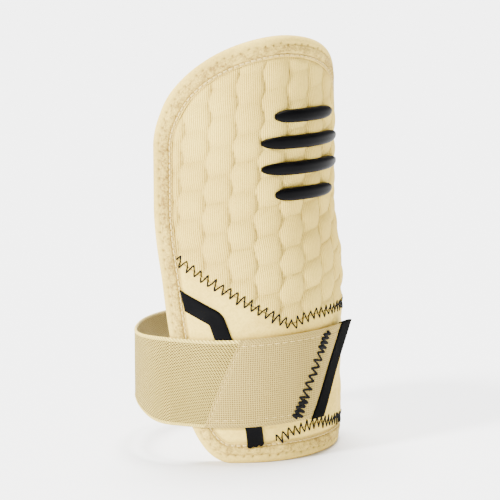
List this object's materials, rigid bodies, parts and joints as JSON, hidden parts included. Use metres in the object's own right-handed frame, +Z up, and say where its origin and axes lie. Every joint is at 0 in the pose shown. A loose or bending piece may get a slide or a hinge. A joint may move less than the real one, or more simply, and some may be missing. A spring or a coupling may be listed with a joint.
{
  "type": "baseball elbow guard",
  "caption": "Padded fabric guard that curves round a batter's elbow and forearm, bound with tape at the rim and closed behind the arm by a wide elastic strap.",
  "frame": {"origin": "on the ground under the middle of the part's box", "axes": "+Z up along the forearm towards the rounded top, -Y out of the padded front, +X towards the hidden side that the strap is sewn to"},
  "size_m": [0.124, 0.1194, 0.2389],
  "materials": {
    "quilted_knit": "sand-coloured knitted cloth quilted over foam in staggered cells",
    "smooth_knit": "sand-coloured brushed knit that the hook tab grips",
    "binding_tape": "sand-coloured folded binding tape with stitched seams",
    "elastic_webbing": "sand-coloured woven elastic",
    "moulded_rubber": "charcoal black moulded rubber with a soft shine",
    "woven_tag": "black close-woven ribbon"
  },
  "bodies": {
    "root": {"quilted_pad": "quilted_knit", "lower_panel": "smooth_knit", "heel_panel": "smooth_knit", "edge_binding": "binding_tape", "side_stripe": "moulded_rubber", "front_bar_1": "moulded_rubber", "front_bar_2": "moulded_rubber", "front_bar_3": "moulded_rubber", "front_bar_4": "moulded_rubber", "strap_band": "elastic_webbing", "strap_tab": "elastic_webbing", "end_tag": "woven_tag"}
  },
  "joints": []
}
